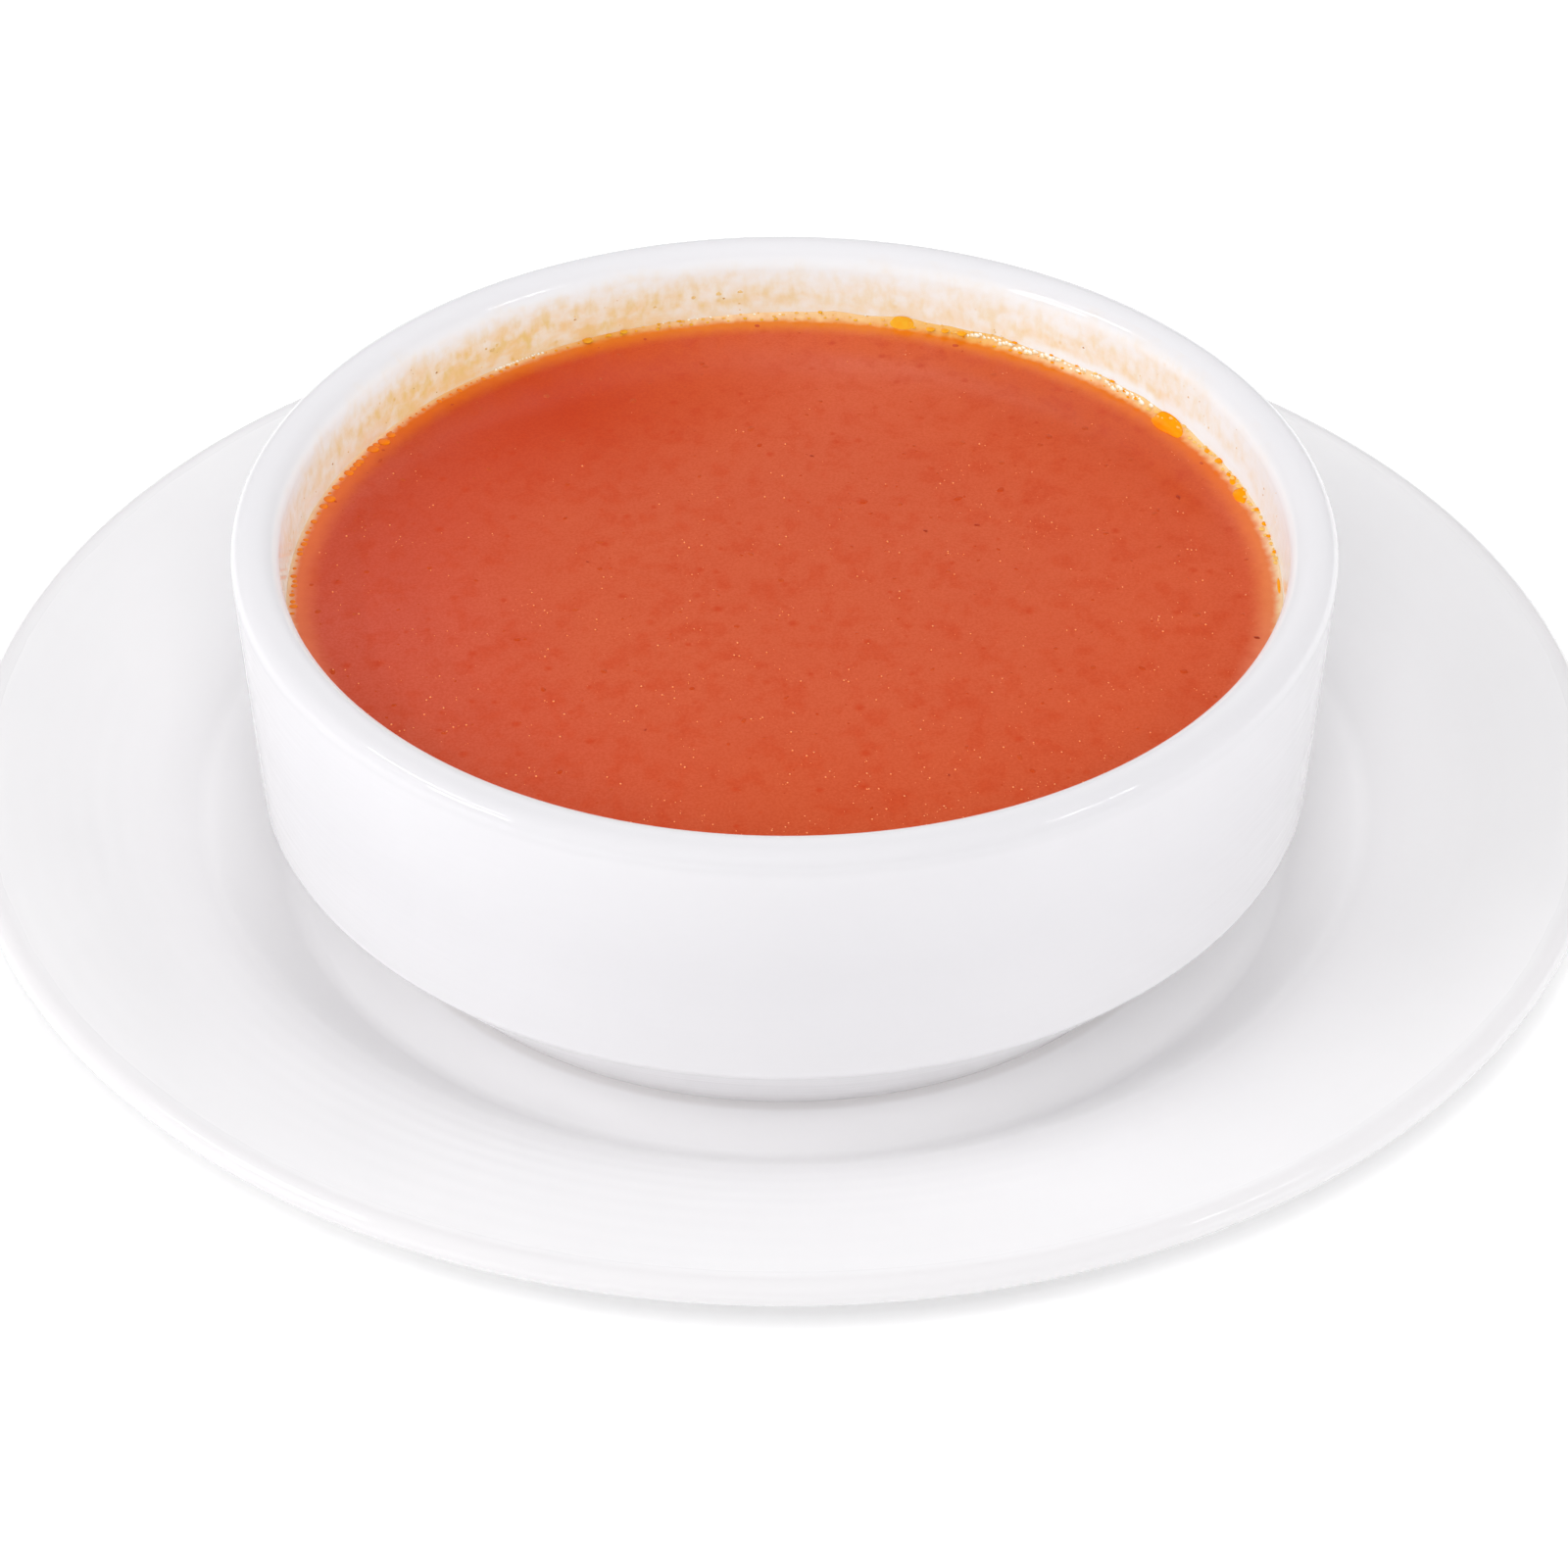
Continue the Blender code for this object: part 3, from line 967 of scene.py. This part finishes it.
def makeBubbles():
    chance = random.Random(bubbles["seed"])
    dome = makeDome("bubble", 10, 8, 0.0)
    markPaintedGlint(dome, glint, 0.6, 0.93)
    middle, back, right = bubbles["crowding"]
    places = []
    clusters = 0
    while clusters < bubbles["clusters"]:
        x, y = anyPlace(chance, bubbles["reach"])
        if chance.random() > middle + back * y / bubbles["reach"] + right * x / bubbles["reach"]:
            continue
        clusters += 1
        for number in range(chance.randint(*bubbles["perCluster"])):
            wander = bubbles["spread"] * (number > 0)
            bx = x + chance.gauss(0, 1) * wander
            by = y + chance.gauss(0, 1) * wander
            if math.hypot(bx, by) > bubbles["reach"]:
                continue
            growth = chance.random() ** bubbles["skew"]
            size = bubbles["smallest"] + (bubbles["largest"] - bubbles["smallest"]) * growth
            high = soupHeight(bx, by) - bubbles["sink"] * size
            spread = (size, size, bubbles["height"] * size)
            places.append((standing(bx, by, high, 0, spread), 0, chance.random()))
    return gatherCopies("airBubbles", [dome], places)


finishPiece(makeBubbles(), crumbMaterial("bubbleShadeAndGlint"))


pulp = {
    "count": 300,
    "kinds": 4,
    "raggedness": 0.45,
    "smallest": 0.16 * mm,
    "largest": 0.62 * mm,
    "skew": 3,
    "thickness": 0.05 * mm,
    "sink": 0.012 * mm,
    "reach": 53.0 * mm,
    "seed": 23,
}


def makeFlake(number):
    flake = makeDome("flake", 12, 6, 0.0)
    for corner in flake.data.vertices:
        wave = 1 + pulp["raggedness"] * noise.noise(corner.co * 1.1 + Vector((7 * number, 0, 0)))
        corner.co.x *= wave
        corner.co.y *= wave
    return flake


def makePulp():
    chance = random.Random(pulp["seed"])
    masters = [makeFlake(number) for number in range(pulp["kinds"])]
    places = []
    for number in range(pulp["count"]):
        x, y = anyPlace(chance, pulp["reach"])
        size = pulp["smallest"] + (pulp["largest"] - pulp["smallest"]) * chance.random() ** pulp["skew"]
        spread = (size, size * chance.uniform(0.5, 1), pulp["thickness"] * chance.uniform(0.5, 1))
        places.append((standing(x, y, soupHeight(x, y) - pulp["sink"], chance.uniform(0, math.pi), spread),
                       number % pulp["kinds"], chance.random()))
    return gatherCopies("tomatoFlecks", masters, places)


finishPiece(makePulp(), crumbMaterial("tomatoPulp"))


pepper = {  # azimuth in degrees, distance from the middle and size in millimetres
    "specks": [(20.3, 47.2, 0.30), (26.8, 24.0, 0.26), (31.6, 18.4, 0.24), (-11.7, 52.0, 0.28),
               (82.8, 24.8, 0.20), (-64, 39, 0.17), (-118, 31, 0.16), (171, 22, 0.15)],
    "shape": (1.3, 0.7, 0.35),
}


def makePepper():
    chance = random.Random(5)
    places = []
    for azimuth, far, size in pepper["specks"]:
        x, y = polar(far * mm, azimuth)
        spread = [size * mm * side for side in pepper["shape"]]
        places.append((standing(x, y, soupHeight(x, y), chance.uniform(0, math.pi), spread),
                       chance.randrange(2), chance.random()))
    return gatherCopies("pepperSpecks", [makeGrain("grain", 3, 0.7), makeGrain("grain", 8, 0.7)], places)


finishPiece(makePepper(), crumbMaterial("pepperGrain"))


splashes = {  # azimuth, height above the soup, size in millimetres, paleness
    "known": [(128.7, 2.8, 0.36, 0.8), (128.0, 3.2, 0.26, 0.9), (129.6, 3.3, 0.22, 0.7),
              (137.5, 3.3, 0.16, 0.0), (159.1, 2.2, 0.15, 0.0), (50.5, 3.6, 0.15, 0.1),
              (101.5, 3.3, 0.24, 0.8), (98.3, 3.5, 0.30, 1.0), (116.9, 3.2, 0.17, 0.3),
              (32.7, 4.9, 0.14, 0.5), (12.8, 4.1, 0.15, 0.5), (95.6, 3.6, 0.26, 0.9),
              (106.4, 2.7, 0.19, 0.8)],
    "few": 36,  # finer ones between them
    "sector": (5, 178),
    "clean": 62,  # before this azimuth they all lie within the next heights
    "cleanHeights": (2.8, 6.4),
    "lowest": 0.7,
    "scatter": 2.2,
    "highest": 6.6,
    "fineSize": (0.05, 0.13),
    "thickness": 0.05 * mm,
    "seed": 31,
}


def makeSplashes():
    chance = random.Random(splashes["seed"])
    spots = list(splashes["known"])
    for _ in range(splashes["few"]):
        azimuth = chance.uniform(*splashes["sector"])
        if azimuth < splashes["clean"]:
            high = chance.uniform(*splashes["cleanHeights"])
        else:
            high = abs(chance.gauss(0, splashes["scatter"])) + splashes["lowest"]
        size = chance.uniform(*splashes["fineSize"])
        spots.append((azimuth, min(high, splashes["highest"]), size, chance.uniform(0.4, 1)))
    places = []
    for azimuth, high, size, paleness in spots:
        z = soupLevel + high * mm
        x, y = polar(wallRadius(z), azimuth)
        across = size * mm * chance.uniform(0.8, 1.3)
        up = size * mm * chance.uniform(0.6, 1.0)
        places.append((standing(x, y, z, math.radians(azimuth), (splashes["thickness"], across, up)),
                       chance.randrange(2), paleness))
    return gatherCopies("wallSplashes", [makeGrain("crumb", 1, 0.6), makeGrain("crumb", 5, 0.6)], places)


finishPiece(makeSplashes(), crumbMaterial("driedSplash"))


oilBeads = {
    "rows": {  # azimuth from and to, spacing, radius from and to, inset in millimetres
        "oilBeads": [(187, 168, 1.10, 0.14, 0.40, 0.26), (168, 147, 1.20, 0.22, 0.62, 0.28),
                     (147, 128, 1.10, 0.12, 0.34, 0.20), (127, 42, 1.90, 0.12, 0.30, 0.05)],
        "oilFringe": [(108, 67, 1.50, 0.12, 0.28, -0.2), (66, 40, 1.10, 0.14, 0.32, -0.22),
                      (39, 3, 0.95, 0.18, 0.44, -0.25)],
    },
    "large": [(149.2, 0.74), (151.2, 0.62), (163.0, 0.70), (155.0, 0.50), (160.4, 0.46), (115.5, 0.70),
              (112.6, 0.42), (110.6, 0.5), (106, 0.28), (103.4, 0.3), (85.6, 0.32), (71.4, 0.62),
              (69.5, 0.55), (67.3, 0.72), (27.3, 0.48), (24.7, 0.55), (22.0, 0.4), (13.6, 0.36),
              (10.8, 0.4), (8.4, 0.3), (5.2, 0.32), (60.2, 0.35), (55.0, 0.3), (51.2, 0.28), (45.6, 0.34),
              (43.4, 0.32), (41.3, 0.38)],  # azimuth and radius
    "leftOf": 120,  # the large ones beyond this azimuth stand off the wall
    "largeInset": (0.34, -0.35),  # there, and on the rest of the wall
    "insetWander": (0.0, 0.26),
    "width": (0.9, 1.3),
    "length": (0.85, 1.1),
    "flatness": 0.28,
    "lift": 0.05,
    "seed": 17,
}


def makeBeads(name):
    chance = random.Random(oilBeads["seed"])
    dome = makeDome("bead", 10, 8, -0.4)
    spots = []
    if name == "oilBeads":
        off, on = oilBeads["largeInset"]
        spots = [(azimuth, size * mm, off if azimuth > oilBeads["leftOf"] else on)
                 for azimuth, size in oilBeads["large"]]
    for start, end, spacing, smallest, largest, inset in oilBeads["rows"][name]:
        for azimuth in roundWall(chance, start, end, spacing):
            spots.append((azimuth, chance.uniform(smallest, largest) * mm, inset))
    places = []
    for azimuth, size, inset in spots:
        gap = (inset + chance.uniform(*oilBeads["insetWander"])) * mm
        x, y = polar(soup["wallRadius"] - 0.5 * size - gap, azimuth)
        width = size * chance.uniform(*oilBeads["width"])
        spread = (width, size * chance.uniform(*oilBeads["length"]), size * oilBeads["flatness"])
        high = soupHeight(x, y) + oilBeads["lift"] * size
        places.append((standing(x, y, high, math.radians(azimuth), spread), 0, chance.random()))
    return gatherCopies(name, [dome], places)


finishPiece(makeBeads("oilBeads"), tomatoOil("tomatoOil"))
finishPiece(makeBeads("oilFringe"), tomatoOil("oilFringe"))


oilPools = {  # azimuth, length, width, thickness and gap from the wall in millimetres
    "drops": [(75.2, 2.9, 0.8, 0.26, -0.15), (35.1, 5.2, 1.9, 0.44, -0.3), (17.9, 2.7, 1.25, 0.32, -0.05),
              (20.8, 1.2, 0.6, 0.2, -0.1), (-1.2, 3.0, 0.32, 0.12, 0.05)],
    "waver": 0.16,
    "pick": 0.5,
}


def makePool(azimuth, length, width, thickness, gap):
    drop = makeDome("pool", 48, 16, -0.35)
    middle = soup["wallRadius"] - (gap + width / 2) * mm
    for corner in drop.data.vertices:
        flat = Vector((corner.co.x, corner.co.y, 0))
        wave = 1 + oilPools["waver"] * noise.noise(flat * 1.2 + Vector((azimuth, 0, 0)))
        along, across = corner.co.x * wave * length / 2 * mm, corner.co.y * wave * width / 2 * mm
        x, y = polar(middle + across, azimuth + math.degrees(along / middle))
        corner.co = (x, y, soupHeight(x, y) + corner.co.z * thickness * mm)
    markPick(drop, oilPools["pick"])
    return drop


def makePools():
    whole = joinPieces("oilPools", [makePool(*drop) for drop in oilPools["drops"]])
    bpy.ops.object.mode_set(mode="EDIT")
    faceOutwards()
    return whole


finishPiece(makePools(), bpy.data.materials["tomatoOil"])


froth = {  # tiny pale bubbles where the soup meets the wall, partly froth and partly painted highlight for the glints there
    "rows": [(66.5, 38.5, 0.50, 0.17, 0.36), (66, 40, 0.90, 0.10, 0.24), (128.5, 121.5, 0.40, 0.12, 0.24),
             (108, 76, 1.5, 0.08, 0.18)],  # azimuth from and to, spacing, radius from and to in mm
    "overlap": 0.22 * mm,  # into the wall
    "rise": (0.3, 1.1),  # as a share of the climb there
    "depth": 0.8,
    "length": (0.8, 1.5),
    "seed": 41,
}


def makeFroth():
    chance = random.Random(froth["seed"])
    dome = makeDome("froth", 10, 8, -0.3)
    markPaintedGlint(dome, glint, 0.2, 0.8)
    places = []
    for start, end, spacing, smallest, largest in froth["rows"]:
        for azimuth in roundWall(chance, start, end, spacing):
            size = chance.uniform(smallest, largest) * mm
            x, y = polar(soup["wallRadius"] + froth["overlap"] - size, azimuth)
            high = soupLevel + chance.uniform(*froth["rise"]) * climb(azimuth)
            spread = (size * froth["depth"], size * chance.uniform(*froth["length"]), size)
            places.append((standing(x, y, high, math.radians(azimuth), spread), 0, chance.random()))
    return gatherCopies("frothAndGlints", [dome], places)


finishPiece(makeFroth(), crumbMaterial("frothAndGlints"))
